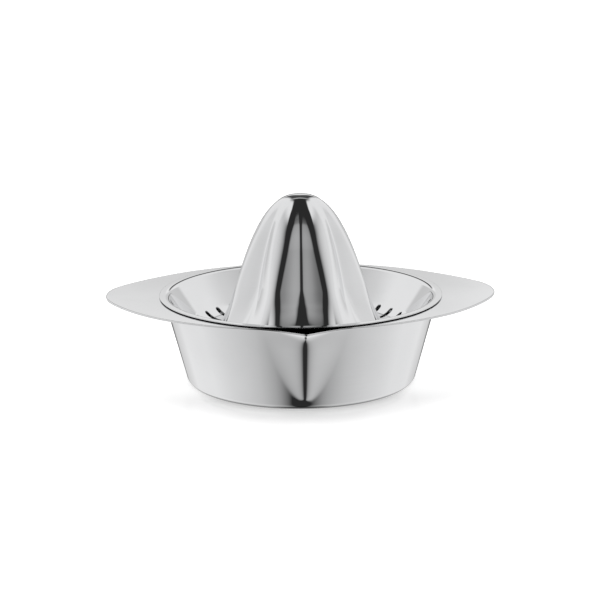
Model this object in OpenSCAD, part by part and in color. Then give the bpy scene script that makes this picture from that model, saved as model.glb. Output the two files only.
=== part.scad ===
// Citrus squeezer in polished sheet steel: a bowl with a pouring spout and two wing grips,
// and a lift-out insert made of a slotted strainer dish and a fluted reamer cone.
// Millimetres. The origin is the middle of the base's underside, +Z is up,
// +X runs along the wings and the spout points to -Y.

/* [Bowl] */
// Length over both wing grips
wing_span = 205; // [195:1:225]
// Width of the brim from front to back, without the spout
brim_depth = 150; // [146:1:158]
// Radius of the round end of each wing
wing_tip_r = 40; // [30:1:48]
// Height of the brim's top above the table
brim_h = 46; // [42:1:56]
// Diameter of the base, where the wall's line meets the table
base_d = 120; // [110:1:124]
// Outside radius between base and wall
base_corner_r = 4; // [3:0.5:8]
// Thickness of the bowl's sheet
bowl_t = 1; // [0.8:0.1:1.2]

/* [Spout] */
// How far the lip's point stands out past the brim
lip_reach = 5; // [3:0.5:7]
// Half width of the spout at the brim
spout_half_w = 22; // [18:1:26]
// Height above the table where the crease runs out
crease_foot_h = 3; // [2:0.5:6]

/* [Strainer dish] */
// Depth of the trough below the brim
trough_depth = 20; // [17:1:23]
// Radius of the trough's round bottom
trough_r = 12; // [10:0.5:13]
// Number of straining slots
slot_count = 36; // [24:1:40]
// Width of one slot
slot_w = 1.8; // [1.4:0.1:2.2]
// Thickness of the insert's sheet
insert_t = 0.8; // [0.6:0.1:1]

/* [Reamer cone] */
// Height of the tip above the brim
reamer_rise = 55; // [46:1:62]
// Diameter over the ribs at the foot
reamer_d = 82; // [76:1:83]
// Number of ribs
rib_count = 7; // [6:1:10]
// Depth of the flutes as a share of the ribs' radius
flute_share = 0.2; // [0.14:0.01:0.24]

/* [Hidden] */
$fn = 96;
// Straight pieces in each arc of a sheet's section
arc_steps = 8;
// How far a cut runs on past a face
cut_above = 1;

// Brim: an oval of four arcs
wing_half = wing_span / 2;
brim_half = brim_depth / 2;
tip_centre_x = wing_half - wing_tip_r;
side_arc_r = (tip_centre_x ^ 2 + brim_half ^ 2 - wing_tip_r ^ 2) / (2 * (brim_half - wing_tip_r));
side_arc_y = side_arc_r - brim_half;
arc_join_x = tip_centre_x * side_arc_r / (side_arc_r - wing_tip_r);

// Bowl wall: a straight taper from the base to a tight bend under the brim
brim_narrowest = 2.7;
bend_r = 1;
wall_top_r = brim_half - brim_narrowest;
wall_slope = (wall_top_r - base_d / 2) / brim_h;
wall_lean = atan(wall_slope);
function wall_r(z) = base_d / 2 + wall_slope * z;
// Radius of the wall's face at height z, moved inwards by a sheet thickness
function face_r(z, inset) = wall_r(z) - inset / cos(wall_lean);
bend_z = brim_h - bowl_t - bend_r;
bend_centre = [wall_r(bend_z) + bend_r / cos(wall_lean), bend_z];
corner_centre = [wall_r(base_corner_r) - base_corner_r / cos(wall_lean), base_corner_r];
// Width of the flat ring that the bowl's round part shares with the oval brim
brim_lap = 0.8;

// Spout: a cusp on the wall that fades to nothing at the crease's foot
lip_overhang = 4.6;
spout_reach = lip_reach + brim_narrowest - lip_overhang;
spout_rise = brim_h - crease_foot_h;
spout_cut_h = brim_h + cut_above;
// The spout's block ends in the middle of the brim's sheet
block_top = 1 - bowl_t / 2 / spout_rise;
spout_steps = 12;
flank_steps = 8;
// The cusp's edges dive this far into the wall, so that the faces cross and don't just touch
flank_dive = 0.35 * bowl_t;
cusp_reach = spout_reach + flank_dive;
// The lowest level lies just inside the wall
first_step = 0.8 * (flank_dive / cusp_reach) ^ 2;
function spout_z(q) = crease_foot_h + spout_rise * q;
function spout_w(q) = spout_half_w * sqrt(q);
function flank_out(q, s) = cusp_reach * sqrt(q) * (1 - s) ^ 2 - flank_dive;
// How much further a leaning face sits when the sheet keeps its thickness
function flank_lean(s) = sqrt(1 + (2 * cusp_reach * (1 - s) / spout_half_w) ^ 2 + wall_slope ^ 2);

// Insert rim: rests on the brim inside its edge
rim_inset = 0.5;
rim_r = brim_half - rim_inset;
rim_flat_w = 3;
rim_bend_r = 1.5;
rim_bend_centre = [rim_r - rim_flat_w, brim_h - rim_bend_r];

// Seam: the cone's foot ring lies on a flat ring at the dish's inner edge
foot_flare = 1.8;
seam_w = 1.5;
seam_edge = 0.3;
seam_rise = 1.1;
foot_r = reamer_d / 2 + foot_flare;
foot_edge_r = foot_r + seam_w;
seam_z = brim_h - trough_depth + seam_rise;
ring_outer_r = foot_edge_r + seam_edge;
ring_lap = 1;
ring_inner_r = foot_r - ring_lap;

// Trough: an arc that rises from the seam ring's edge and runs out into the sloping wall
trough_z = brim_h - trough_depth + trough_r;
trough_x = ring_outer_r + sqrt(trough_r ^ 2 - (trough_z - seam_z) ^ 2);
trough_centre = [trough_x, trough_z];
trough_start = atan2(seam_z - trough_z, ring_outer_r - trough_x);
trough_outer_r = trough_r + insert_t;
under_start = -180 - asin((seam_z - insert_t - trough_z) / trough_outer_r);
// The sloping wall is the line that touches the trough from below and the rim's bend from above
dish_span = rim_bend_centre - trough_centre;
dish_angle = atan2(dish_span.y, dish_span.x) + asin((trough_outer_r + rim_bend_r) / norm(dish_span));

// Slots: through the trough's round, from just below the sloping wall to past the lowest line
slot_margin = 0.8;
slot_past_middle = 2.5;
slot_outer_r = trough_x + trough_r * sin(dish_angle) - slot_margin;
slot_inner_r = trough_x - slot_past_middle;

// Cone: ridge and valley profiles from the foot to a rounded tip
foot_top_z = seam_z + insert_t;
tip_z = brim_h + reamer_rise;
fillet_h = 4;
// The radius falls with this power of the distance below the tip
profile_power = 0.39;
// The flutes keep their depth almost to the tip
fade_power = 12;
ridge_round = 0.22;
// A flank's sheet is thinner across than along the radius, so the radius shrinks by more
radius_per_sheet = 1.25;
body_steps = 14;
fillet_share = [0, 0.08, 0.28, 0.6];
// Places across one rib, from -1 in the valley over 0 on the ridge
rib_places = [-1, -0.6, -0.3, -0.12, 0, 0.12, 0.3, 0.6];
loop_size = rib_count * len(rib_places);

function arc(centre, r, from, to) = [for (k = [0 : arc_steps])
    let (angle = from + (to - from) * k / arc_steps)
    centre + r * [cos(angle), sin(angle)]
];

// Half section of the bowl's sheet, out along its underside and back along its inside:
// base, corner, wall, bend and the start of the flat brim
module bowl_section() {
    lap_r = bend_centre.x + brim_lap;
    polygon(concat(
        [[0, 0]],
        arc(corner_centre, base_corner_r, -90, -wall_lean),
        arc(bend_centre, bend_r, 180 - wall_lean, 90),
        [[lap_r, brim_h - bowl_t], [lap_r, brim_h]],
        arc(bend_centre, bend_r + bowl_t, 90, 180 - wall_lean),
        arc(corner_centre, base_corner_r - bowl_t, -wall_lean, -90),
        [[0, bowl_t]]
    ));
}

module brim_outline() {
    intersection() {
        translate([0, side_arc_y]) circle(side_arc_r);
        translate([0, -side_arc_y]) circle(side_arc_r);
        square([2 * arc_join_x, brim_depth + 2], center = true);
    }
    for (side = [-1, 1]) {
        translate([side * tip_centre_x, 0]) circle(wing_tip_r);
    }
}

// Plan of the lip: the brim's edge drawn out to a point
module lip_outline() {
    steps = [for (k = [-flank_steps : flank_steps]) k / flank_steps];
    edge = [for (s = steps)
        let (x = s * spout_half_w)
        [x, -sqrt(brim_half ^ 2 - x ^ 2) - (lip_reach + flank_dive) * (1 - abs(s)) ^ 2 + flank_dive]
    ];
    back = -sqrt(bend_centre.x ^ 2 - spout_half_w ^ 2);
    polygon(concat(edge, [[spout_half_w, back], [-spout_half_w, back]]));
}

// One level of the spout: its flanks, left to right, from the wall to the crease and back
function spout_level(q, z, inset) = [for (k = [-flank_steps : flank_steps])
    let (s = abs(k) / flank_steps, x = sign(k) * s * spout_w(q), r = wall_r(spout_z(q)))
    [x, -sqrt(r ^ 2 - x ^ 2) - flank_out(q, s) + inset * flank_lean(s), z]
];

// Solid of the spout's outside, or of its inside, which runs on above the brim
module spout_solid(inset, top_share, above) {
    shares = [for (i = [0 : spout_steps]) first_step + (top_share - first_step) * i / spout_steps];
    levels = concat(
        [for (q = shares) spout_level(q, spout_z(q), inset)],
        above > 0 ? [spout_level(1, brim_h + above, inset)] : []
    );
    size = 2 * flank_steps + 1;
    last = (len(levels) - 1) * size;
    sides = [for (i = [0 : len(levels) - 2], k = [0 : size - 1])
        let (a = i * size + k, b = i * size + (k + 1) % size)
        each [[a, a + size, b], [b, a + size, b + size]]
    ];
    bottom = [for (k = [0 : size - 1]) k];
    top = [for (k = [size - 1 : -1 : 0]) last + k];
    polyhedron([for (level = levels) each level], concat([bottom, top], sides));
}

module juice_bowl() {
    color("#c9cbce")
    difference() {
        union() {
            rotate_extrude() bowl_section();
            translate([0, 0, brim_h - bowl_t]) linear_extrude(bowl_t) difference() {
                union() {
                    brim_outline();
                    lip_outline();
                }
                circle(bend_centre.x + brim_lap / 2);
            }
            // The spout's block, cut back to the middle of the wall's sheet
            difference() {
                spout_solid(0, block_top, 0);
                cylinder(h = spout_cut_h, r1 = face_r(0, bowl_t / 2), r2 = face_r(spout_cut_h, bowl_t / 2));
            }
        }
        spout_solid(bowl_t, 1, cut_above);
    }
}

// Half section of the strainer dish's sheet, out along its top and back along its underside:
// seam ring, trough, sloping wall, bend and flat rim
module dish_section() {
    polygon(concat(
        [[ring_inner_r, seam_z - insert_t], [ring_inner_r, seam_z]],
        arc(trough_centre, trough_r, trough_start, dish_angle - 90),
        arc(rim_bend_centre, rim_bend_r + insert_t, 90 + dish_angle, 90),
        [[rim_r, brim_h + insert_t], [rim_r, brim_h]],
        arc(rim_bend_centre, rim_bend_r, 90, 90 + dish_angle),
        arc(trough_centre, trough_outer_r, dish_angle - 90, under_start)
    ));
}

module slot_cutter() {
    length = slot_outer_r - slot_inner_r - slot_w;
    linear_extrude(brim_h) {
        translate([slot_inner_r + slot_w / 2, -slot_w / 2]) square([length, slot_w]);
        translate([slot_inner_r + slot_w / 2, 0]) circle(d = slot_w);
        translate([slot_outer_r - slot_w / 2, 0]) circle(d = slot_w);
    }
}

module strainer_dish() {
    color("#b9bcc0")
    difference() {
        rotate_extrude() dish_section();
        for (i = [0 : slot_count - 1]) {
            rotate(i * 360 / slot_count) slot_cutter();
        }
    }
}

// 1 on a ridge and 0 in a valley, with a rounded ridge and straight flanks
function lobe(place) = 1 - (norm([place, ridge_round]) - ridge_round) / (norm([1, ridge_round]) - ridge_round);

// Radius of the cone's body at height z, where inset is 0 outside and the sheet's thickness inside
function body_r(place, z, inset) =
    let (
        foot_z = foot_top_z - inset,
        t = min(1, max(0, (z - foot_z) / (tip_z - inset - foot_z))),
        ridge = (reamer_d / 2 - inset * radius_per_sheet) * (1 - t) ^ profile_power
    )
    ridge * (1 - flute_share * (1 - t ^ fade_power) * (1 - lobe(place)));

// The same with the flared foot added below
function cone_r(place, z, inset) =
    let (
        h = min(1, max(0, (z - foot_top_z + inset) / fillet_h)),
        flare = 1 - sqrt(1 - (1 - h) ^ 2),
        body = body_r(place, z, inset)
    )
    body + (foot_r - body) * flare;

function loop_point(rib, place, r, z) =
    let (angle = (rib + (place + 1) / 2) * 360 / rib_count)
    [r * sin(angle), -r * cos(angle), z];
function ring_loop(r, z) = [for (rib = [0 : rib_count - 1], place = rib_places) loop_point(rib, place, r, z)];
function cone_loop(z, inset) = [for (rib = [0 : rib_count - 1], place = rib_places)
    loop_point(rib, place, cone_r(place, z, inset), z)
];

// Heights of the loops: close together in the flared foot and near the tip
function loop_heights(inset) =
    let (low = foot_top_z - inset, body_low = low + fillet_h, body_high = tip_z - inset)
    concat(
        [for (share = fillet_share) low + fillet_h * share],
        [for (k = [0 : body_steps - 1]) body_high - (body_high - body_low) * (1 - k / body_steps) ^ 2]
    );

// Faces of the band between two loops, and of the cap up to an apex
function band(a, b) = [for (k = [0 : loop_size - 1])
    let (n = (k + 1) % loop_size)
    each [[a + k, b + k, a + n], [a + n, b + k, b + n]]
];
function cap(a, apex) = [for (k = [0 : loop_size - 1]) [a + k, apex, a + (k + 1) % loop_size]];
function flipped(faces) = [for (f = faces) [f[2], f[1], f[0]]];

module reamer_cone() {
    outer = concat(
        [ring_loop(foot_edge_r, seam_z), ring_loop(foot_edge_r, foot_top_z)],
        [for (z = loop_heights(0)) cone_loop(z, 0)]
    );
    inner = [for (z = loop_heights(insert_t)) cone_loop(z, insert_t)];
    outer_count = len(outer) * loop_size;
    outer_apex = outer_count;
    inner_start = outer_count + 1;
    inner_apex = inner_start + len(inner) * loop_size;
    outer_last = outer_count - loop_size;
    inner_last = inner_apex - loop_size;
    points = concat(
        [for (l = outer) each l], [[0, 0, tip_z]],
        [for (l = inner) each l], [[0, 0, tip_z - insert_t]]
    );
    faces = concat(
        [for (i = [0 : len(outer) - 2]) each band(i * loop_size, (i + 1) * loop_size)],
        cap(outer_last, outer_apex),
        [for (i = [0 : len(inner) - 2])
            each flipped(band(inner_start + i * loop_size, inner_start + (i + 1) * loop_size))],
        flipped(cap(inner_last, inner_apex)),
        flipped(band(0, inner_start))
    );
    color("#c4c6c9") polyhedron(points, faces);
}

juice_bowl();
strainer_dish();
reamer_cone();
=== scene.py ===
"""Looks of a citrus squeezer in polished sheet steel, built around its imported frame.

Sizes in the classes are millimetres in the part's own frame: Z up from the table, X along the
wing grips, the spout towards -Y. Fields whose names end in _m are metres.
"""

import logging
import math
from dataclasses import dataclass
from enum import Enum
from typing import Optional, Union

import bmesh
import bpy
import numpy as np
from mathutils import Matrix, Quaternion, Vector


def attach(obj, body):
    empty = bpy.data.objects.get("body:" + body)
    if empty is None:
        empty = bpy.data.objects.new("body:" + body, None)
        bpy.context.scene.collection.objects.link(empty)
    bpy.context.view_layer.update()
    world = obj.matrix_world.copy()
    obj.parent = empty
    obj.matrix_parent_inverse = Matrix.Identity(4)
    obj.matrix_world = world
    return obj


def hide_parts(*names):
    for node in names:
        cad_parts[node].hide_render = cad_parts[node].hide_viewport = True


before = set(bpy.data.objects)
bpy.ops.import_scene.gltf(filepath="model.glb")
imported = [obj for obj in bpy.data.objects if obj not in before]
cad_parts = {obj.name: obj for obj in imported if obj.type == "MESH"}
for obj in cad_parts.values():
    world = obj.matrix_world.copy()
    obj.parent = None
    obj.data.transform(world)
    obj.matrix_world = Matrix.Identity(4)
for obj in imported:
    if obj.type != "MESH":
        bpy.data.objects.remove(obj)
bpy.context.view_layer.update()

LOG = logging.getLogger("squeezer")
METRES_PER_MM = 0.001

Number = Union[float, "Sock"]
Colour = Union[tuple, "Sock"]


class Body(Enum):
    """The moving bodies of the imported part."""

    BOWL = "bowl"
    INSERT = "insert"


class Slot(Enum):
    """The record's material slots."""

    BOWL_STEEL = "bowl_steel"
    INSERT_STEEL = "insert_steel"


class Sock:
    """A shader value. Operators on it add Math nodes to its graph."""

    def __init__(self, graph: "Graph", socket: bpy.types.NodeSocket) -> None:
        """Keeps a socket together with the graph it belongs to."""
        self.graph = graph
        self.socket = socket

    def _math(self, operation: str, *values: Number) -> "Sock":
        """One Math node on the values, in their order."""
        node = self.graph.node("ShaderNodeMath", {"operation": operation}, dict(enumerate(values)))
        return self.graph.out(node)

    def __add__(self, other: Number) -> "Sock":
        """self + other."""
        return self._math("ADD", self, other)

    def __radd__(self, other: Number) -> "Sock":
        """other + self."""
        return self._math("ADD", other, self)

    def __sub__(self, other: Number) -> "Sock":
        """self - other."""
        return self._math("SUBTRACT", self, other)

    def __rsub__(self, other: Number) -> "Sock":
        """other - self."""
        return self._math("SUBTRACT", other, self)

    def __mul__(self, other: Number) -> "Sock":
        """self * other."""
        return self._math("MULTIPLY", self, other)

    def __rmul__(self, other: Number) -> "Sock":
        """other * self."""
        return self._math("MULTIPLY", other, self)

    def __pow__(self, other: Number) -> "Sock":
        """self to the power of other."""
        return self._math("POWER", self, other)

    def __abs__(self) -> "Sock":
        """The size of self without its sign."""
        return self._math("ABSOLUTE", self)


class Graph:
    """A node tree that is filled from code."""

    # Numbers of a Mix node's colour sockets
    mix_inputs = (6, 7)
    mix_output = 2

    def __init__(self, tree: bpy.types.NodeTree) -> None:
        """Empties the tree and keeps it."""
        tree.nodes.clear()
        self.tree = tree

    def node(
        self,
        kind: str,
        settings: Optional[dict] = None,
        sockets: Optional[dict] = None,
    ) -> bpy.types.Node:
        """Adds one node.

        Args:
            kind: Blender's type name of the node.
            settings: attributes that are set first; "stops" holds a ramp's (place, grey) pairs.
            sockets: a value or a Sock for each input, by name or number.

        Returns:
            The new node.
        """
        node = self.tree.nodes.new(kind)
        for name, value in (settings or {}).items():
            if name == "stops":
                self._set_stops(node.color_ramp, value)
            else:
                setattr(node, name, value)
        for name, value in (sockets or {}).items():
            if isinstance(value, Sock):
                self.tree.links.new(value.socket, node.inputs[name])
            else:
                node.inputs[name].default_value = value
        return node

    def out(self, node: bpy.types.Node, name: Union[int, str] = 0) -> Sock:
        """One output of a node as a shader value."""
        return Sock(self, node.outputs[name])

    def xyz(self, vector: Sock) -> tuple:
        """The three parts of a vector."""
        split = self.node("ShaderNodeSeparateXYZ", None, {0: vector})
        return tuple(self.out(split, k) for k in range(3))

    def mix(self, share: Sock, one: Colour, other: Colour) -> Sock:
        """A colour between two colours.

        Args:
            share: 0 for the first colour, 1 for the second.
            one: the first colour, as a Sock or as red, green and blue.
            other: the second colour.

        Returns:
            The mixed colour.
        """
        sockets = {0: share}
        for number, colour in zip(self.mix_inputs, (one, other)):
            sockets[number] = colour if isinstance(colour, Sock) else (*colour, 1.0)
        node = self.node("ShaderNodeMix", {"data_type": "RGBA"}, sockets)
        return self.out(node, self.mix_output)

    def ramp(self, value: Sock, stops: tuple) -> Sock:
        """A grey that follows a value from 0 to 1 through (place, grey) stops."""
        return self.out(self.node("ShaderNodeValToRGB", {"stops": stops}, {"Fac": value}))

    def step(self, value: Sock, low: float, high: float) -> Sock:
        """A smooth step.

        Args:
            value: what the step reads.
            low: the value up to which it is 0.
            high: the value from which it is 1.

        Returns:
            The step's height.
        """
        sockets = {"Value": value, "From Min": low, "From Max": high}
        node = self.node("ShaderNodeMapRange", {"interpolation_type": "SMOOTHSTEP"}, sockets)
        return self.out(node)

    def window(self, value: Sock, rise: tuple, fall: tuple) -> Sock:
        """1 between two smooth steps, given by their limits, and 0 outside them."""
        return self.step(value, *rise) * (1 - self.step(value, *fall))

    @staticmethod
    def _set_stops(color_ramp: bpy.types.ColorRamp, stops: tuple) -> None:
        """Sets a ramp's grey stops.

        Args:
            color_ramp: a new node's ramp.
            stops: (place, grey) pairs in order of place.
        """
        color_ramp.interpolation = "LINEAR"
        while len(color_ramp.elements) < len(stops):
            color_ramp.elements.new(1.0)
        for element, (place, grey) in zip(color_ramp.elements, stops):
            element.position = place
            element.color = (grey, grey, grey, 1.0)


class SheetMesh:
    """Collects rings of points into one mesh of quads."""

    merge_m = 1e-6

    def __init__(self) -> None:
        """Starts with no points."""
        self.points: list = []
        self.faces: list = []

    def add(self, points: np.ndarray) -> np.ndarray:
        """Adds points and returns their numbers.

        Args:
            points: an array whose last axis is x, y, z in millimetres.

        Returns:
            The points' numbers, in the layout of the array.
        """
        flat = np.asarray(points, float).reshape(-1, 3)
        first = len(self.points)
        self.points.extend((flat * METRES_PER_MM).tolist())
        return np.arange(first, first + len(flat)).reshape(np.shape(points)[:-1])

    def add_on_axis(self, z: float) -> int:
        """Adds one point on the Z axis and returns its number."""
        return self.add(np.array([[0.0, 0.0, z]]))[0]

    def band(self, one: np.ndarray, other: np.ndarray) -> None:
        """Quads between two closed rings.

        Args:
            one: the first ring's point numbers.
            other: the second ring's, in the same order.
        """
        for k in range(len(one)):
            n = (k + 1) % len(one)
            self.faces.append((int(one[k]), int(one[n]), int(other[n]), int(other[k])))

    def loft(self, rows: np.ndarray) -> None:
        """Bands between each ring of point numbers and the next."""
        for one, other in zip(rows[:-1], rows[1:]):
            self.band(one, other)

    def fan(self, ring: np.ndarray, apex: int) -> None:
        """Triangles from a closed ring to one point.

        Args:
            ring: the ring's point numbers.
            apex: the point's number.
        """
        for k in range(len(ring)):
            n = (k + 1) % len(ring)
            self.faces.append((int(ring[k]), int(ring[n]), int(apex)))

    def build(self, name: str) -> bpy.types.Object:
        """Makes the object, shaded smooth, with doubled points merged and faces turned outwards.

        Args:
            name: the piece's name.

        Returns:
            The new object, linked to the scene.
        """
        mesh = bpy.data.meshes.new(name)
        mesh.from_pydata(self.points, [], self.faces)
        work = bmesh.new()
        work.from_mesh(mesh)
        bmesh.ops.remove_doubles(work, verts=work.verts, dist=self.merge_m)
        bmesh.ops.recalc_face_normals(work, faces=work.faces)
        work.to_mesh(mesh)
        work.free()
        mesh.polygons.foreach_set("use_smooth", [True] * len(mesh.polygons))
        mesh.update()
        piece = bpy.data.objects.new(name, mesh)
        bpy.context.scene.collection.objects.link(piece)
        return piece


def arc(centre: tuple, radius: float, start: float, end: float, steps: int) -> np.ndarray:
    """Points on an arc in section.

    Args:
        centre: the arc's middle as (r, z).
        radius: its radius.
        start: the first direction in degrees.
        end: the last direction in degrees.
        steps: how many pieces it is cut into.

    Returns:
        An array of (r, z) pairs, both ends included.
    """
    turn = np.radians(np.linspace(start, end, steps + 1))
    return np.stack([centre[0] + radius * np.cos(turn), centre[1] + radius * np.sin(turn)], axis=1)


def line(start: np.ndarray, end: np.ndarray, steps: int, hold: float = 0.3) -> np.ndarray:
    """Points on a straight run in section, with one close to each end so that it shades flat.

    Args:
        start: first end as (r, z).
        end: last end as (r, z).
        steps: how many pieces lie between the two close points.
        hold: how far the close points stand from the ends, at most a quarter of the run.

    Returns:
        An array of (r, z) pairs without the two ends.
    """
    run = np.asarray(end, float) - np.asarray(start, float)
    near = min(0.25, hold / np.linalg.norm(run))
    share = np.linspace(near, 1 - near, steps + 1)[:, None]
    return np.asarray(start, float) + run * share


def in_plan(radius: np.ndarray, angles: np.ndarray) -> tuple:
    """x and y at a radius in each direction, where angle 0 looks along -Y."""
    return radius * np.sin(angles), -radius * np.cos(angles)


def turned(section: np.ndarray, angles: np.ndarray) -> np.ndarray:
    """Rings of points from a section that is turned round the Z axis.

    Args:
        section: (r, z) pairs.
        angles: directions round the Z axis in radians.

    Returns:
        An array of rows by angles by x, y, z.
    """
    r, z = section[:, 0, None], section[:, 1, None]
    x, y = in_plan(r, angles)
    return np.stack([x, y, z + 0 * x], axis=2)


def row_normals(grid: np.ndarray) -> np.ndarray:
    """Unit normals of a grid whose rows are closed rings.

    Args:
        grid: an array of rows by columns by x, y, z.

    Returns:
        An array of the same layout, pointing away from the axis or down.
    """
    along = np.gradient(grid, axis=0)
    across = np.roll(grid, -1, axis=1) - np.roll(grid, 1, axis=1)
    normals = np.cross(across, along)
    return normals / np.linalg.norm(normals, axis=2, keepdims=True)


@dataclass(frozen=True)
class PolishedSteel:
    """Mirror-polished stainless sheet with faint polishing lines and hazy patches."""

    name: str
    bright: tuple = (0.745, 0.748, 0.755)
    dull: tuple = (0.715, 0.718, 0.725)
    smooth: float = 0.03
    hazy: float = 0.06
    haze_scale: float = 26.0
    haze_detail: float = 3.0
    haze_share: float = 0.9
    haze_limits: tuple = (0.35, 0.65)
    line_scale: float = 900.0
    line_detail: float = 2.0
    line_stretch: tuple = (0.05, 0.05, 1.0)
    line_strength: float = 0.002
    line_height_m: float = 0.0002
    # Painted shade: the colour darkens to a dark line where the foot meets the table.
    painted_foot_shade: float = 0.0
    painted_foot_shade_limits_m: tuple = (0.001, 0.0024)
    painted_foot_dark: float = 0.1

    def material(self) -> bpy.types.Material:
        """Makes the material: colour, roughness and bump all follow the polishing.

        Returns:
            The new material.
        """
        material = bpy.data.materials.new(self.name)
        material.use_nodes = True
        graph = Graph(material.node_tree)
        place = graph.out(graph.node("ShaderNodeTexCoord"), "Object")
        patches = {"Vector": place, "Scale": self.haze_scale, "Detail": self.haze_detail}
        haze = graph.out(graph.node("ShaderNodeTexNoise", None, patches))
        stretch = {"Vector": place, "Scale": self.line_stretch}
        along = graph.out(graph.node("ShaderNodeMapping", None, stretch))
        strokes = {"Vector": along, "Scale": self.line_scale, "Detail": self.line_detail}
        lines = graph.out(graph.node("ShaderNodeTexNoise", None, strokes))
        blend = self.haze_share * haze + (1 - self.haze_share) * lines
        worn = graph.step(blend, *self.haze_limits)
        relief = {"Strength": self.line_strength, "Distance": self.line_height_m, "Height": lines}
        sockets = {
            "Base Color": self._colour(graph, place, worn),
            "Metallic": 1.0,
            "Roughness": self.smooth + (self.hazy - self.smooth) * worn,
            "Normal": graph.out(graph.node("ShaderNodeBump", None, relief)),
        }
        shader = graph.out(graph.node("ShaderNodeBsdfPrincipled", None, sockets))
        graph.node("ShaderNodeOutputMaterial", None, {"Surface": shader})
        return material

    def _colour(self, graph: Graph, place: Sock, worn: Sock) -> Sock:
        """The steel's colour: duller in hazy patches, and darkened with painted shade along the
        foot where asked for.

        Args:
            graph: the material's nodes.
            place: object coordinates.
            worn: how hazy the polish is, from 0 to 1.

        Returns:
            The colour.
        """
        colour = graph.mix(worn, self.bright, self.dull)
        if not self.painted_foot_shade:
            return colour
        # Painted shade along the foot, darkest next to the table.
        height = graph.xyz(place)[2]
        painted_shade = self.painted_foot_shade * (1 - graph.step(height, *self.painted_foot_shade_limits_m))
        return graph.mix(painted_shade, colour, tuple(self.painted_foot_dark * c for c in self.dull))


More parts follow.
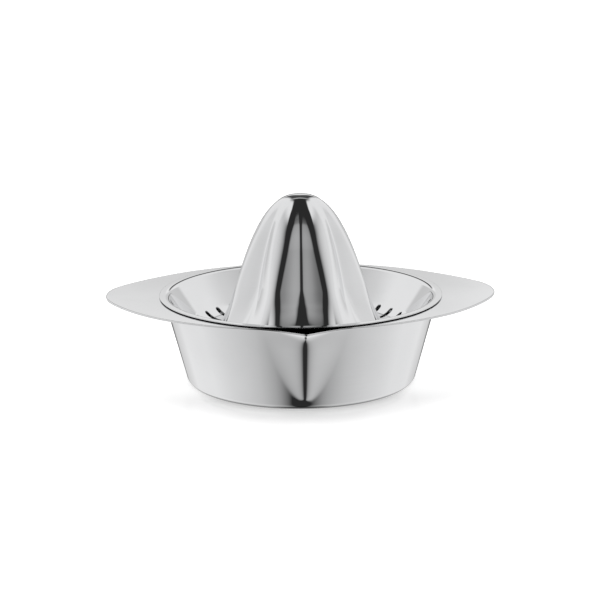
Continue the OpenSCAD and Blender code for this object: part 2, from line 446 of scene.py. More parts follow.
@dataclass
class JuiceBowl:
    """The bowl: base, leaning wall with a creased spout, and an oval brim with two wing grips."""

    finish: PolishedSteel
    wing_half: float = 102.5
    brim_half: float = 75.0
    wing_tip_r: float = 40.0
    brim_h: float = 46.0
    base_r: float = 60.0
    corner_r: float = 4.0
    sheet: float = 1.0
    bend_r: float = 1.0
    brim_narrowest: float = 2.7
    lip_reach: float = 5.0
    spout_reach: float = 3.1
    spout_half_w: float = 22.0
    spout_foot_share: float = 0.025
    crease_foot_h: float = 5.5
    crease_soft: float = 0.2
    crease_sharp: float = 0.04
    crease_foot_r: float = 3.5
    sharp_from_z: float = 35.0
    sharp_to_z: float = 43.0
    lip_dip: float = 1.5
    lip_dip_from_z: float = 38.0
    lip_dip_round: float = 0.6
    lip_roll: float = 0.5
    lip_roll_h: float = 7.0
    lip_roll_half_w: float = 14.0
    lip_roll_least: float = 0.05
    wing_rise: float = 1.1
    wing_rise_from: float = 72.0
    front_turn: float = math.radians(20)
    front_crowding: float = 2.4
    front_columns: int = 60
    side_columns: int = 128
    base_rows: int = 10
    corner_rows: int = 10
    wall_rows: int = 44
    bend_rows: int = 8
    edge_rows: int = 8
    flat_shares: tuple = (0.05, 0.2, 0.45, 0.7, 0.9, 0.98, 1.0)
    level_within: float = 1e-6

    def build(self) -> bpy.types.Object:
        """Makes the bowl's sheet as one closed mesh.

        Returns:
            The bowl, dressed and riding on its body.
        """
        angles = self._columns()
        edge = self._outline(angles)
        outwards = self._outwards(edge)
        outer = self._outside(angles, edge - outwards * self.sheet / 2)
        normals = row_normals(outer)
        normals[self._is_level(outer)] = (0.0, 0.0, -1.0)
        inner = outer - normals * self.sheet
        mesh = SheetMesh()
        rows = [mesh.add(outer), mesh.add(self._edge(outer[-1], outwards)), mesh.add(inner[::-1])]
        mesh.loft(np.concatenate(rows))
        mesh.fan(rows[0][0], mesh.add_on_axis(0.0))
        mesh.fan(rows[2][-1], mesh.add_on_axis(self.sheet))
        piece = mesh.build("bowl_sheet")
        piece.data.materials.append(self.finish.material())
        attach(piece, Body.BOWL.value)
        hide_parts("juice_bowl")
        return piece

    def _columns(self) -> np.ndarray:
        """Directions of the mesh's columns, close together at the spout's crease.

        Returns:
            Angles in radians, once round from the back.
        """
        share = np.linspace(0, 1, self.front_columns + 1)
        crowded = np.sinh(self.front_crowding * share) / math.sinh(self.front_crowding)
        front = self.front_turn * crowded
        side = np.linspace(self.front_turn, math.pi, self.side_columns + 1)[1:]
        half = np.concatenate([front, side])
        return np.concatenate([-half[::-1], half[1:-1]])

    def _section(self) -> np.ndarray:
        """The outside face in section, from the base's middle to the foot of the flat brim.

        Returns:
            An array of (r, z) pairs.
        """
        slope = (self.brim_half - self.brim_narrowest - self.base_r) / self.brim_h
        lean = math.atan(slope)
        lean_deg = math.degrees(lean)
        corner_x = self.base_r + slope * self.corner_r - self.corner_r / math.cos(lean)
        corner = arc((corner_x, self.corner_r), self.corner_r, -90, -lean_deg, self.corner_rows)
        bend_z = self.brim_h - self.sheet - self.bend_r
        bend_x = self.base_r + slope * bend_z + self.bend_r / math.cos(lean)
        bend = arc((bend_x, bend_z), self.bend_r, 180 - lean_deg, 90, self.bend_rows)
        base = line(np.array([0.0, 0.0]), corner[0], self.base_rows)
        wall = line(corner[-1], bend[0], self.wall_rows)
        return np.concatenate([base, corner, wall, bend])

    @staticmethod
    def _cusp(x: np.ndarray, width: np.ndarray, soft: np.ndarray) -> np.ndarray:
        """A rounded cusp across the spout: 1 on the crease, 0 from the flank's edge outwards.

        Args:
            x: distance from the crease.
            width: the flank's width there.
            soft: how round the crease is, as a share of the width.

        Returns:
            The cusp's height at each place.
        """
        place = np.abs(x) / np.maximum(width, 1e-9)
        share = (np.hypot(place, soft) - soft) / (np.hypot(1.0, soft) - soft)
        return (1 - np.clip(share, 0, 1)) ** 2

    def _spout(self, x: np.ndarray, z: np.ndarray) -> np.ndarray:
        """How far the spout draws the wall out.

        Args:
            x: distance from the crease.
            z: height above the table.

        Returns:
            The way towards -Y at each place.
        """
        share = np.clip((z - self.crease_foot_h) / (self.brim_h - self.crease_foot_h), 0, 1)
        near_lip = np.clip((z - self.sharp_from_z) / (self.sharp_to_z - self.sharp_from_z), 0, 1)
        soft = self.crease_soft + (self.crease_sharp - self.crease_soft) * near_lip
        width = self.spout_half_w * np.sqrt(share + self.spout_foot_share * (1 - share))
        soft = np.hypot(soft, self.crease_foot_r * (1 - near_lip) / width)
        return self.spout_reach * np.sqrt(share) * self._cusp(x, width, soft)

    def _roll(self, x: np.ndarray, z: np.ndarray) -> np.ndarray:
        """How far the wall's top edge is rolled out beside the crease.

        Args:
            x: distance from the crease.
            z: height above the table.

        Returns:
            The way towards -Y at each place.
        """
        beside = 1 - np.abs(x) / self.lip_roll_half_w
        height = self.lip_roll_h * np.clip(beside, self.lip_roll_least, 1)
        above = np.clip(z - (self.brim_h - self.sheet - height), 0, None)
        fade = np.clip(2 - 2 * np.abs(x) / self.spout_half_w, 0, 1)
        return self.lip_roll / 2 * above**2 / height * fade

    def _dip(self, x: np.ndarray, z: np.ndarray) -> np.ndarray:
        """How far the lip dips towards the crease, where the juice runs out.

        Args:
            x: distance from the crease.
            z: height above the table.

        Returns:
            The way down at each place.
        """
        span = self.brim_h - self.sheet - self.lip_dip_from_z
        near_lip = np.clip((z - self.lip_dip_from_z) / span, 0, 1) ** 2
        beside = 1 - np.hypot(x, self.lip_dip_round) / self.spout_half_w
        return self.lip_dip * near_lip * np.clip(beside, 0, 1)

    def _outline(self, angles: np.ndarray) -> np.ndarray:
        """The brim's edge in plan, an oval of four arcs with the lip drawn out of it.

        Args:
            angles: the columns' directions.

        Returns:
            One (x, y) pair for each column.
        """
        tip_r = self.wing_tip_r
        tip_x = self.wing_half - tip_r
        side_r = (tip_x**2 + self.brim_half**2 - tip_r**2) / (2 * (self.brim_half - tip_r))
        side_y = side_r - self.brim_half
        join_x = tip_x * side_r / (side_r - tip_r)
        sx, sy = np.abs(np.sin(angles)), np.abs(np.cos(angles))
        on_side = np.sqrt(side_r**2 - (side_y * sx) ** 2) - side_y * sy
        on_tip = sx * tip_x + np.sqrt(np.maximum(tip_r**2 - (tip_x * sy) ** 2, 0))
        x, y = in_plan(np.where(on_side * sx <= join_x, on_side, on_tip), angles)
        cusp = self._cusp(x, np.full_like(x, self.spout_half_w), np.full_like(x, self.crease_sharp))
        lip = np.where(y < 0, self.lip_reach * cusp, 0)
        return np.stack([x, y - lip], axis=1)

    @staticmethod
    def _outwards(edge: np.ndarray) -> np.ndarray:
        """Unit directions in plan that point out of a closed outline.

        Args:
            edge: (x, y) pairs once round.

        Returns:
            One direction for each pair.
        """
        tangent = np.roll(edge, -1, axis=0) - np.roll(edge, 1, axis=0)
        across = np.stack([tangent[:, 1], -tangent[:, 0]], axis=1)
        return across / np.linalg.norm(across, axis=1, keepdims=True)

    def _outside(self, angles: np.ndarray, stop: np.ndarray) -> np.ndarray:
        """Rows of the outside face from the base to the start of the brim's rounded edge.

        Args:
            angles: the columns' directions.
            stop: where the flat brim ends in plan.

        Returns:
            An array of rows by columns by x, y, z.
        """
        grid = turned(self._section(), angles)
        x, z = grid[..., 0], grid[..., 2]
        front = grid[..., 1] < 0
        grid[..., 1] -= np.where(front, self._spout(x, z) + self._roll(x, z), 0)
        grid[..., 2] -= np.where(front, self._dip(x, z), 0)
        foot = grid[-1]
        flat = []
        for share in self.flat_shares:
            row = foot.copy()
            row[:, :2] = foot[:, :2] + (stop - foot[:, :2]) * share
            past = np.abs(row[:, 0]) - self.wing_rise_from
            out = np.clip(past / (self.wing_half - self.wing_rise_from), 0, 1)
            row[:, 2] += self.wing_rise * out**2
            flat.append(row)
        return np.concatenate([grid, np.array(flat)])

    def _is_level(self, outer: np.ndarray) -> np.ndarray:
        """Which points lie on the level base or brim."""
        off_brim = np.abs(outer[..., 2] - (self.brim_h - self.sheet))
        return (outer[..., 2] < self.level_within) | (off_brim < self.level_within)

    def _edge(self, last: np.ndarray, outwards: np.ndarray) -> np.ndarray:
        """Rows round the brim's edge, a half circle from its underside to its top.

        Args:
            last: the last row of the outside face.
            outwards: the direction out of the brim at each column.

        Returns:
            An array of rows by columns by x, y, z.
        """
        half = self.sheet / 2
        rows = []
        for turn in np.radians(np.linspace(-90, 90, self.edge_rows + 1)[1:-1]):
            row = last.copy()
            row[:, :2] += outwards * half * math.cos(turn)
            row[:, 2] += half + half * math.sin(turn)
            rows.append(row)
        return np.array(rows)


@dataclass
class StrainerDish:
    """The insert's dish: seam ring, trough with its straining slots, sloping wall and flat rim."""

    finish: PolishedSteel
    brim_h: float = 46.0
    sheet: float = 0.8
    rim_r: float = 74.5
    rim_flat_w: float = 3.0
    rim_bend_r: float = 2.2
    rim_lift: float = 0.4
    trough_depth: float = 20.0
    trough_r: float = 12.0
    seam_rise: float = 1.1
    ring_inner_r: float = 41.8
    ring_outer_r: float = 44.6
    slot_count: int = 36
    slot_w: float = 2.8
    slot_margin: float = 0.8
    slot_past_middle: float = 2.5
    slot_edge: float = 0.12
    patch_margin: float = 0.55
    patch_shares: tuple = (1.0, 0.75, 0.5, 0.28, 0.12, 0.04, 0.0)
    across_steps: int = 8
    along_steps: int = 16
    ring_rows: int = 2
    ring_hold: float = 0.15
    trough_rows: int = 4
    wall_rows: int = 14
    bend_rows: int = 12
    rim_rows: int = 3
    rim_hold: float = 0.2
    edge_rows: int = 8

    def __post_init__(self) -> None:
        """Works out the trough's and the wall's places from the sizes."""
        self.seam_z = self.brim_h - self.trough_depth + self.seam_rise
        trough_z = self.brim_h - self.trough_depth + self.trough_r
        trough_x = self.ring_outer_r + math.sqrt(self.trough_r**2 - (trough_z - self.seam_z) ** 2)
        self.trough = np.array([trough_x, trough_z])
        self.bend = np.array([self.rim_r - self.rim_flat_w, self.brim_h - self.rim_bend_r])
        span = self.bend - self.trough
        reach = self.trough_r + self.sheet + self.rim_bend_r
        slope = math.atan2(span[1], span[0]) + math.asin(reach / np.linalg.norm(span))
        self.slope_deg = math.degrees(slope)
        self.slot_outer_r = trough_x + self.trough_r * math.sin(slope) - self.slot_margin
        self.slot_inner_r = trough_x - self.slot_past_middle

    def build(self) -> bpy.types.Object:
        """Makes the dish's sheet as one closed mesh with its slots.

        Returns:
            The dish, dressed and riding on its body.
        """
        mesh = SheetMesh()
        top = [mesh.add(turned(rows, self._angles())) for rows in self._faces(0.0)]
        under = [mesh.add(turned(rows, self._angles())) for rows in self._faces(self.sheet)]
        for inner_rows, outer_rows in (top, under):
            mesh.loft(inner_rows)
            mesh.loft(outer_rows)
        mesh.band(top[0][0], under[0][0])
        rim = mesh.add(turned(self._rim_edge(), self._angles()))
        mesh.loft(np.concatenate([top[1][-1:], rim, under[1][-1:]]))
        for number in range(self.slot_count):
            self._slot(mesh, number)
        piece = mesh.build("strainer_sheet")
        piece.data.materials.append(self.finish.material())
        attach(piece, Body.INSERT.value)
        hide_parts("strainer_dish")
        return piece

    def _angles(self) -> np.ndarray:
        """Directions of the columns: a slot's patch starts half a pitch before it.

        Returns:
            Angles in radians, once round.
        """
        pitch = 2 * math.pi / self.slot_count
        count = self.slot_count * self.across_steps
        return (np.arange(count) / self.across_steps - 0.5) * pitch

    def _height(self, r: np.ndarray, depth: float) -> np.ndarray:
        """Height of the trough's face at a radius, depth below the top face."""
        radius = self.trough_r + depth
        return self.trough[1] - np.sqrt(radius**2 - (r - self.trough[0]) ** 2)

    def _turn_deg(self, r: float, depth: float) -> float:
        """Direction from the trough's middle to its face at a radius, depth below the top face."""
        return math.degrees(-math.acos((r - self.trough[0]) / (self.trough_r + depth)))

    def _patch_radii(self) -> tuple:
        """The two radii between which the slots' patches lie."""
        return self.slot_inner_r - self.patch_margin, self.slot_outer_r + self.patch_margin

    def _faces(self, depth: float) -> tuple:
        """A face of the sheet in section, inside and outside of the slots' patches.

        Args:
            depth: 0 for the top face, the sheet's thickness for the underside.

        Returns:
            Two arrays of (r, z) pairs.
        """
        radius = self.trough_r + depth
        low, high = self._patch_radii()
        seam, inner_turn, outer_turn = (
            self._turn_deg(r, depth) for r in (self.ring_outer_r, low, high)
        )
        first = arc(self.trough, radius, seam, inner_turn, self.trough_rows)
        ring_start = np.array([self.ring_inner_r, self.seam_z - depth])
        ring = line(ring_start, first[0], self.ring_rows, self.ring_hold)
        last = arc(self.trough, radius, outer_turn, self.slope_deg - 90, self.trough_rows)
        bend_r = self.rim_bend_r + self.sheet - depth
        bend = arc(self.bend, bend_r, 90 + self.slope_deg, 90, self.bend_rows)
        lift = self.rim_lift if depth else 0.0
        rim_end = np.array([self.rim_r - self._rim_half(), bend[-1, 1] + lift])
        wall = line(last[-1], bend[0], self.wall_rows)
        rim = line(bend[-1], rim_end, self.rim_rows, self.rim_hold)
        inner = np.concatenate([ring_start[None], ring, first])
        return inner, np.concatenate([last, wall, bend, rim, rim_end[None]])

    def _rim_edge(self) -> np.ndarray:
        """The rim's rounded edge in section, from its top to its underside.

        Returns:
            An array of (r, z) pairs without the two ends.
        """
        half = self._rim_half()
        middle = (self.rim_r - half, self.brim_h + self.sheet - half)
        return arc(middle, half, 90, -90, self.edge_rows)[1:-1]

    def _rim_half(self) -> float:
        """Half the rim's thickness at its edge, where its underside stands clear of the brim."""
        return (self.sheet - self.rim_lift) / 2

    @staticmethod
    def _closed(right: np.ndarray, outer: np.ndarray, inner: np.ndarray) -> np.ndarray:
        """A closed outline from its right side, that side's mirror image and its two ends."""
        left = right[::-1] * (1, -1)
        return np.concatenate([side[:-1] for side in (right, outer, left, inner)])

    def _stadium(self, grow: float) -> np.ndarray:
        """A slot's outline in plan, matched point by point to its patch's border.

        Args:
            grow: how far the outline is grown outwards.

        Returns:
            An array of (outwards, across) pairs, once round.
        """
        half = self.slot_w / 2
        near, far = self.slot_inner_r + half, self.slot_outer_r - half
        radius = half + grow
        along = np.linspace(near, far, self.along_steps + 1)
        turn = np.radians(np.linspace(90, -90, self.across_steps + 1))
        right = np.stack([along, np.full_like(along, radius)], axis=1)
        outer = np.stack([far + radius * np.cos(turn), radius * np.sin(turn)], axis=1)
        inner = np.stack([near - radius * np.cos(turn[::-1]), radius * np.sin(turn[::-1])], axis=1)
        return self._closed(right, outer, inner)

    def _border(self) -> np.ndarray:
        """The border of a slot's patch in plan.

        Returns:
            An array of (outwards, across) pairs, once round.
        """
        low, high = self._patch_radii()
        half = math.pi / self.slot_count
        along = np.linspace(low, high, self.along_steps + 1)
        turn = np.linspace(half, -half, self.across_steps + 1)
        right = np.stack([along * math.cos(half), along * math.sin(half)], axis=1)
        outer = high * np.stack([np.cos(turn), np.sin(turn)], axis=1)
        inner = low * np.stack([np.cos(turn[::-1]), np.sin(turn[::-1])], axis=1)
        return self._closed(right, outer, inner)

    def _slot(self, mesh: SheetMesh, number: int) -> None:
        """Adds one slot with the patch of sheet around it.

        Args:
            mesh: the dish's mesh.
            number: which slot it is, counted from the front.
        """
        turn = number * 2 * math.pi / self.slot_count
        c, s = math.cos(turn), math.sin(turn)
        hole, lipped, border = self._stadium(0.0), self._stadium(self.slot_edge), self._border()
        rings = []
        for depth, sign in ((0.0, -1), (self.sheet, 1)):
            rows = []
            for share in self.patch_shares:
                plan = lipped + (border - lipped) * share
                rows.append((plan, self._height(np.linalg.norm(plan, axis=1), depth)))
            height = self._height(np.linalg.norm(hole, axis=1), depth) + sign * self.slot_edge
            rows.append((hole, height))
            rings.extend(rows if depth == 0.0 else rows[::-1])
        points = []
        for plan, height in rings:
            out, across = plan[:, 0], plan[:, 1]
            points.append(np.stack([out * s + across * c, across * s - out * c, height], axis=1))
        mesh.loft(mesh.add(np.array(points)))


@dataclass
class ReamerCone:
    """The fluted cone: seven straight-flanked ribs from a flared foot to a round tip."""

    finish: PolishedSteel
    foot_z: float = 27.1
    sheet: float = 0.8
    tip_z: float = 99.5
    ridge_r: float = 41.3
    foot_r: float = 42.8
    foot_edge_r: float = 44.3
    foot_soft: float = 0.25
    foot_soft_rows: int = 4
    foot_land: float = 0.3
    fillet_h: float = 4.0
    fillet_shares: tuple = (0.0, 0.02, 0.06, 0.12, 0.2, 0.3, 0.42, 0.56, 0.7, 0.85)
    rib_count: int = 7
    flank_deg: float = 15.5
    profile_power: float = 0.41
    fade_power: float = 11.0
    flank_bulge: float = 0.006
    skirt_z: float = 50.5
    skirt: float = 0.0117
    valley_skirt: float = 0.5
    ridge_skirt: float = 0.35
    ridge_share: float = 0.4
    turn_deg: float = -1.0
    fillet_heights: tuple = (40.0, 46.0, 54.0, 75.0)
    ridge_fillets: tuple = (8.2, 7.8, 5.8, 8.0)
    valley_fillets: tuple = (12.0, 13.0, 3.5, 3.0)
    tip_fillet_share: float = 0.4
    rib_columns: int = 72
    body_rows: int = 110

    def build(self) -> bpy.types.Object:
        """Makes the cone's sheet as one closed mesh, open below.

        Returns:
            The cone, dressed and riding on its body.
        """
        outer = np.array([self._ring(z) for z in self._heights()])
        inner = outer - row_normals(outer) * self.sheet
        inner[:, :, 2] = np.maximum(inner[:, :, 2], self.foot_z)
        mesh = SheetMesh()
        foot = mesh.add(turned(self._foot_edge(), self._angles()))
        body = mesh.add(outer)
        hollow = mesh.add(inner)
        mesh.loft(np.concatenate([foot, body]))
        mesh.fan(body[-1], mesh.add_on_axis(self.tip_z))
        mesh.loft(hollow)
        mesh.fan(hollow[-1], mesh.add_on_axis(self.tip_z - self.sheet))
        mesh.band(foot[0], hollow[0])
        piece = mesh.build("reamer_sheet")
        piece.data.materials.append(self.finish.material())
        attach(piece, Body.INSERT.value)
        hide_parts("reamer_cone")
        return piece

    def _places(self) -> np.ndarray:
        """Places across one rib, -1 and 1 in the valleys and 0 on the ridge."""
        return np.arange(self.rib_columns) * 2 / self.rib_columns - 1

    def _angles(self) -> np.ndarray:
        """Directions of the columns; a valley faces the front.

        Returns:
            Angles in radians, once round.
        """
        ribs = np.arange(self.rib_count)[:, None]
        turn = (ribs + (self._places() + 1) / 2) * 2 * math.pi / self.rib_count
        return turn.ravel() + math.radians(self.turn_deg)

    def _heights(self) -> np.ndarray:
        """Heights of the rings, close together in the flared foot and at the tip.

        Returns:
            Heights in rising order.
        """
        low = self.foot_z + self.sheet
        fillet = low + self.fillet_h * np.array(self.fillet_shares)
        start = math.sqrt((self.tip_z - low - self.fillet_h) / (self.tip_z - low))
        share = np.linspace(start, 0, self.body_rows + 1)[:-1]
        body = self.tip_z - (self.tip_z - low) * share**2
        return np.concatenate([fillet, body])

    def _star(self, ridge: float, ridge_fillet: float, valley_fillet: float) -> np.ndarray:
        """Radius across a rib: straight flanks with a round on the ridge and in the valley.

        Args:
            ridge: radius of the ridge's top.
            ridge_fillet: radius of the round on the ridge.
            valley_fillet: radius of the round in the valley.

        Returns:
            One radius for each place across a rib.
        """
        half, flank = math.pi / self.rib_count, math.radians(self.flank_deg)
        steep = half + flank
        apex = ridge + ridge_fillet * (1 / math.cos(steep) - 1)
        valley = apex * (math.cos(half) - math.sin(half) * math.tan(flank))
        from_ridge = np.abs(self._places()) * half
        from_valley = half - from_ridge
        low = valley + valley_fillet / math.cos(flank)
        high = apex - ridge_fillet / math.cos(steep)
        low_end = math.atan2(
            valley_fillet * math.sin(flank), low - valley_fillet * math.cos(flank)
        )
        high_end = math.atan2(
            ridge_fillet * math.sin(steep), high + ridge_fillet * math.cos(steep)
        )
        sag = np.sqrt(np.maximum(valley_fillet**2 - (low * np.sin(from_valley)) ** 2, 0))
        crown = np.sqrt(np.maximum(ridge_fillet**2 - (high * np.sin(from_ridge)) ** 2, 0))
        radius = valley * math.cos(flank) / np.cos(from_valley + flank)
        radius = np.where(from_valley < low_end, low * np.cos(from_valley) - sag, radius)
        radius = np.where(from_ridge < high_end, high * np.cos(from_ridge) + crown, radius)
        bulge = (1 - np.cos(2 * math.pi * from_valley / half)) / 2
        return radius + self.flank_bulge * ridge * bulge

    def _ring(self, z: float) -> np.ndarray:
        """One ring of the cone's outside.

        Args:
            z: the ring's height.

        Returns:
            An array of columns by x, y, z.
        """
        low = self.foot_z + self.sheet
        rise = min(1.0, max(0.0, (z - low) / (self.tip_z - low)))
        ridge = self.ridge_r * (1 - rise) ** self.profile_power
        most = max(self.tip_fillet_share * ridge, 1e-6)
        fillets = [
            min(most, float(np.interp(z, self.fillet_heights, sizes)))
            for sizes in (self.ridge_fillets, self.valley_fillets)
        ]
        body = ridge - (ridge - self._star(ridge, *fillets)) * (1 - rise**self.fade_power)
        body = np.minimum(body + self._skirt(z), self.foot_r)
        clear = min(1.0, max(0.0, (z - low) / self.fillet_h))
        flare = 1 - math.sqrt(max(0.0, 1 - (1 - clear) ** 2))
        radius = np.tile(body + (self.foot_r - body) * flare, self.rib_count)
        x, y = in_plan(radius, self._angles())
        return np.stack([x, y, np.full_like(radius, z)], axis=1)

    def _skirt(self, z: float) -> np.ndarray:
        """How far the cone spreads above its foot, least on the ridge and most in the valley.

        Args:
            z: height above the table.

        Returns:
            The way outwards at each place across a rib.
        """
        off_ridge = np.abs(self._places())
        flank = 1 - (1 - np.clip(off_ridge / self.ridge_share, 0, 1)) ** 2
        share = self.ridge_skirt + (1 - self.ridge_skirt) * flank + self.valley_skirt * off_ridge**3
        return self.skirt * share * max(0.0, self.skirt_z - z) ** 2

    def _foot_edge(self) -> np.ndarray:
        """The foot ring in section, from its underside round its edge to its top.

        Returns:
            An array of (r, z) pairs.
        """
        soft, rows = self.foot_soft, self.foot_soft_rows
        top = self.foot_z + self.sheet
        low = arc((self.foot_edge_r - soft, self.foot_z + soft), soft, -90, 0, rows)
        high = arc((self.foot_edge_r - soft, top - soft), soft, 0, 90, rows)
        return np.concatenate([low, high, np.array([[self.foot_r + self.foot_land, top]])])


@dataclass(frozen=True)
class Tent:
    """The white tent that the steel mirrors, with a dark opening on the camera's side.

    Brightness goes by direction: x is its share to the camera's right, y away from the camera and
    z upwards. A pair of limits is where a smooth step starts and ends, and stops are (place, grey).
    """

    opening_stops: tuple = ((0.05, 0.335), (0.23, 0.31), (0.45, 0.17), (0.72, 0.13))
    beside_stops: tuple = (
        (0.0, 0.03), (0.04, 0.1), (0.1, 0.22), (0.17, 0.36),
        (0.3, 0.54), (0.45, 0.7), (0.6, 0.79), (0.8, 0.9),
    )
    lift: float = 0.07
    lift_from_z: tuple = (0.3, 0.5)
    lift_to_z: tuple = (0.58, 0.72)
    overhead_z: tuple = (0.75, 0.92)
    overhead_beside: tuple = (0.02, 0.1)
    side_y: tuple = (0.0, 0.35)
    side_beside: tuple = (0.05, 0.2)
    back_y: tuple = (0.6, 0.72)
    back_z: tuple = (0.205, 0.265)
    back_low: float = 0.72
    slit_x: tuple = (0.16, 0.28)
    slit_from_z: tuple = (0.3, 0.37)
    slit_to_z: tuple = (0.66, 0.76)
    slit_arch: float = 0.35
    slit_dark: float = 0.92
    gap_x: tuple = (0.22, 0.4)
    gap_y: tuple = (0.3, 0.6)
    gap_from_z: tuple = (-0.36, -0.25)
    gap_to_z: tuple = (0.04, 0.12)
    gap_dark: float = 0.92
    table_z: tuple = (-0.1, -0.02)
    table_stops: tuple = (
        (0.0, 0.03), (0.095, 0.03), (0.12, 0.12), (0.14, 0.19), (0.185, 0.32),
        (0.21, 0.39), (0.255, 0.48), (0.335, 0.59), (0.4, 0.67), (0.52, 0.77),
        (0.67, 0.88), (0.8, 1.0), (0.93, 1.0), (1.0, 0.65),
    )
    ring_from_z: tuple = (-0.34, -0.25)
    ring_to_z: tuple = (-0.18, -0.11)
    ring_dark: float = 0.9
    under_z: tuple = (-0.99, -0.96)
    under_dark: float = 0.9

    def build(self, azimuth_deg: float) -> None:
        """Makes the world: the tent to the steel, and plain white to the camera.

        Args:
            azimuth_deg: how far the camera stands to the right of the front.
        """
        world = bpy.data.worlds.new("tent")
        bpy.context.scene.world = world
        world.use_nodes = True
        graph = Graph(world.node_tree)
        along, y, z = graph.xyz(graph.out(graph.node("ShaderNodeTexCoord"), "Generated"))
        x = along + math.sin(math.radians(azimuth_deg)) * y
        direction = (x, y, z)
        upper = graph.step(z, *self.table_z)
        lit = upper * self._above(graph, direction) + (1 - upper) * self._below(graph, direction)
        straight_back = graph.step(y, *self.gap_y) * (1 - graph.step(abs(x), *self.gap_x))
        gap = straight_back * graph.window(z, self.gap_from_z, self.gap_to_z)
        seen = lit * (1 - self.gap_dark * gap)
        camera = graph.out(graph.node("ShaderNodeLightPath"), "Is Camera Ray")
        shown = camera + (1 - camera) * seen
        grey = {0: shown, 1: shown, 2: shown}
        colour = graph.out(graph.node("ShaderNodeCombineColor", None, grey))
        background = graph.node("ShaderNodeBackground", None, {"Color": colour, "Strength": 1.0})
        graph.node("ShaderNodeOutputWorld", None, {"Surface": graph.out(background)})

    def _above(self, graph: Graph, direction: tuple) -> Sock:
        """How bright the tent is above the table: dark in a band over the camera, grey beside it.

        Args:
            graph: the world's nodes.
            direction: its shares x, y and z.

        Returns:
            The brightness in that direction.
        """
        x, y, z = direction
        reach = graph.ramp(0.5 + 0.5 * y, self.opening_stops)
        beside = abs(x) - reach + self.lift * graph.window(z, self.lift_from_z, self.lift_to_z)
        front = graph.ramp(beside, self.beside_stops)
        overhead = graph.step(z, *self.overhead_z) * graph.step(beside, *self.overhead_beside)
        front = front + (1 - front) * overhead
        side = graph.step(y, *self.side_y) * graph.step(beside, *self.side_beside)
        near = side + (1 - side) * front
        slit = graph.step(z + self.slit_arch * abs(x), *self.slit_from_z)
        slit = slit * (1 - graph.step(abs(x), *self.slit_x)) * (1 - graph.step(z, *self.slit_to_z))
        back = self.back_low + (1 - self.back_low) * graph.step(z, *self.back_z)
        behind = graph.step(y, *self.back_y)
        return behind * back * (1 - self.slit_dark * slit) + (1 - behind) * near

    def _below(self, graph: Graph, direction: tuple) -> Sock:
        """How bright the table is as the steel mirrors it: dark towards the camera, white behind.

        Args:
            graph: the world's nodes.
            direction: its shares x, y and z.

        Returns:
            The brightness in that direction.
        """
        x, y, z = direction
        level = (x * x + y * y + 1e-6) ** -0.5
        turn = (0.5 + 0.5 * y * level) ** 0.5
        around = graph.ramp(turn, self.table_stops)
        ring = graph.window(z, self.ring_from_z, self.ring_to_z)
        under = 1 - graph.step(z, *self.under_z)
        return around * (1 - self.ring_dark * ring) * (1 - self.under_dark * under)


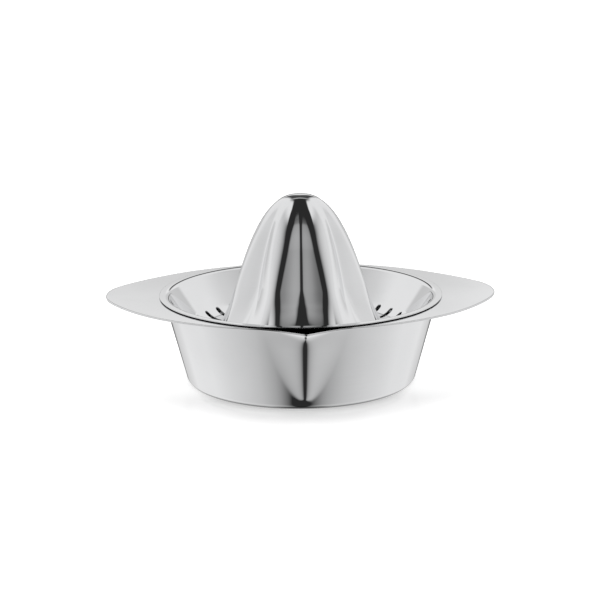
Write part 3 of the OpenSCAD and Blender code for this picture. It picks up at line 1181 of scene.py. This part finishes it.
@dataclass
class Studio:
    """Camera, light and floor, which aren't part of the object."""

    tent: Tent = Tent()
    frame_px: float = 600.0
    focal_px: float = 1892.4
    sensor_mm: float = 36.0
    distance: float = 1000.0
    elevation_deg: float = 13.5
    azimuth_deg: float = -1.9
    roll_deg: float = -0.45
    target: tuple = (0.0, 0.0, 46.0)
    target_px: tuple = (300.7, 293.7)
    floor_half_m: float = 6.0
    floor_albedo: float = 0.85
    floor_glow: float = 0.68
    floor_gloss: float = 0.3
    floor_gloss_rough: float = 0.15
    gloss_radius_m: tuple = (0.055, 0.11)
    gloss_y_m: tuple = (-0.045, -0.02)
    lamp_place_m: tuple = (-0.15, -0.1, 1.3)
    lamp_size_m: float = 0.9
    lamp_watts: float = 3.0

    def build(self) -> None:
        """Sets up the view, the camera, the world, the floor and the lamp."""
        bpy.context.scene.view_settings.view_transform = "Standard"
        self._camera()
        self.tent.build(self.azimuth_deg)
        self._floor()
        self._lamp()

    def _camera(self) -> None:
        """Places the camera where the photograph was taken from."""
        a, e = math.radians(self.azimuth_deg), math.radians(self.elevation_deg)
        back = Vector((math.sin(a) * math.cos(e), -math.cos(a) * math.cos(e), math.sin(e)))
        right = Vector((math.cos(a), math.sin(a), 0.0))
        up = back.cross(right)
        mm_per_px = self.distance / self.focal_px
        off_right = (self.target_px[0] - self.frame_px / 2) * mm_per_px
        off_up = (self.frame_px / 2 - self.target_px[1]) * mm_per_px
        aim = Vector(self.target) - right * off_right - up * off_up
        data = bpy.data.cameras.new("camera")
        data.sensor_width = self.sensor_mm
        data.lens = self.focal_px / self.frame_px * self.sensor_mm
        camera = bpy.data.objects.new("camera", data)
        bpy.context.scene.collection.objects.link(camera)
        place = Vector(self.target) + back * self.distance
        camera.location = place * METRES_PER_MM
        camera.rotation_mode = "QUATERNION"
        level = (aim - place).to_track_quat("-Z", "Y")
        roll = Quaternion((0.0, 0.0, 1.0), math.radians(self.roll_deg))
        camera.rotation_quaternion = level @ roll
        bpy.context.scene.camera = camera

    def _floor(self) -> None:
        """A white floor with a soft shadow. The steel mirrors the tent's lower half instead."""
        half = self.floor_half_m
        corners = [(-half, -half, 0), (half, -half, 0), (half, half, 0), (-half, half, 0)]
        mesh = bpy.data.meshes.new("floor")
        mesh.from_pydata(corners, [], [(0, 1, 2, 3)])
        mesh.materials.append(self._floor_material())
        floor = bpy.data.objects.new("floor", mesh)
        bpy.context.scene.collection.objects.link(floor)
        floor.visible_glossy = False

    def _floor_material(self) -> bpy.types.Material:
        """Matt white, with a glow that only the camera sees and a soft gloss before the base.

        Returns:
            The new material.
        """
        material = bpy.data.materials.new("white_floor")
        material.use_nodes = True
        graph = Graph(material.node_tree)
        albedo = (self.floor_albedo,) * 3 + (1.0,)
        matt = graph.out(graph.node("ShaderNodeBsdfDiffuse", None, {"Color": albedo}))
        glow = graph.out(graph.node("ShaderNodeEmission", None, {"Strength": self.floor_glow}))
        lit = graph.out(graph.node("ShaderNodeAddShader", None, {0: matt, 1: glow}))
        rough = {"Roughness": self.floor_gloss_rough}
        gloss = graph.out(graph.node("ShaderNodeBsdfGlossy", None, rough))
        place = graph.out(graph.node("ShaderNodeTexCoord"), "Object")
        x, y, _ = graph.xyz(place)
        radius = (x * x + y * y) ** 0.5
        near = (1 - graph.step(radius, *self.gloss_radius_m)) * (1 - graph.step(y, *self.gloss_y_m))
        shine = {0: self.floor_gloss * near, 1: lit, 2: gloss}
        seen = graph.out(graph.node("ShaderNodeMixShader", None, shine))
        camera = graph.out(graph.node("ShaderNodeLightPath"), "Is Camera Ray")
        surface = graph.out(graph.node("ShaderNodeMixShader", None, {0: camera, 1: matt, 2: seen}))
        graph.node("ShaderNodeOutputMaterial", None, {"Surface": surface})
        return material

    def _lamp(self) -> None:
        """One wide soft lamp overhead."""
        data = bpy.data.lights.new("overhead", "AREA")
        data.shape = "DISK"
        data.size = self.lamp_size_m
        data.energy = self.lamp_watts
        lamp = bpy.data.objects.new("overhead", data)
        lamp.location = self.lamp_place_m
        lamp.visible_glossy = False
        bpy.context.scene.collection.objects.link(lamp)


def main() -> None:
    """Builds the studio and each piece in order, and reports each one."""
    logging.basicConfig(level=logging.INFO, format="%(name)s: %(message)s")
    Studio().build()
    assemblies = (
        # The bowl's steel carries painted shade along its foot.
        JuiceBowl(PolishedSteel("bowl_polish", painted_foot_shade=0.85)),
        StrainerDish(PolishedSteel("strainer_polish")),
        ReamerCone(PolishedSteel("reamer_polish")),
    )
    for assembly in assemblies:
        piece = assembly.build()
        LOG.info("%s: %d faces", piece.name, len(piece.data.polygons))


if __name__ == "__main__":
    main()
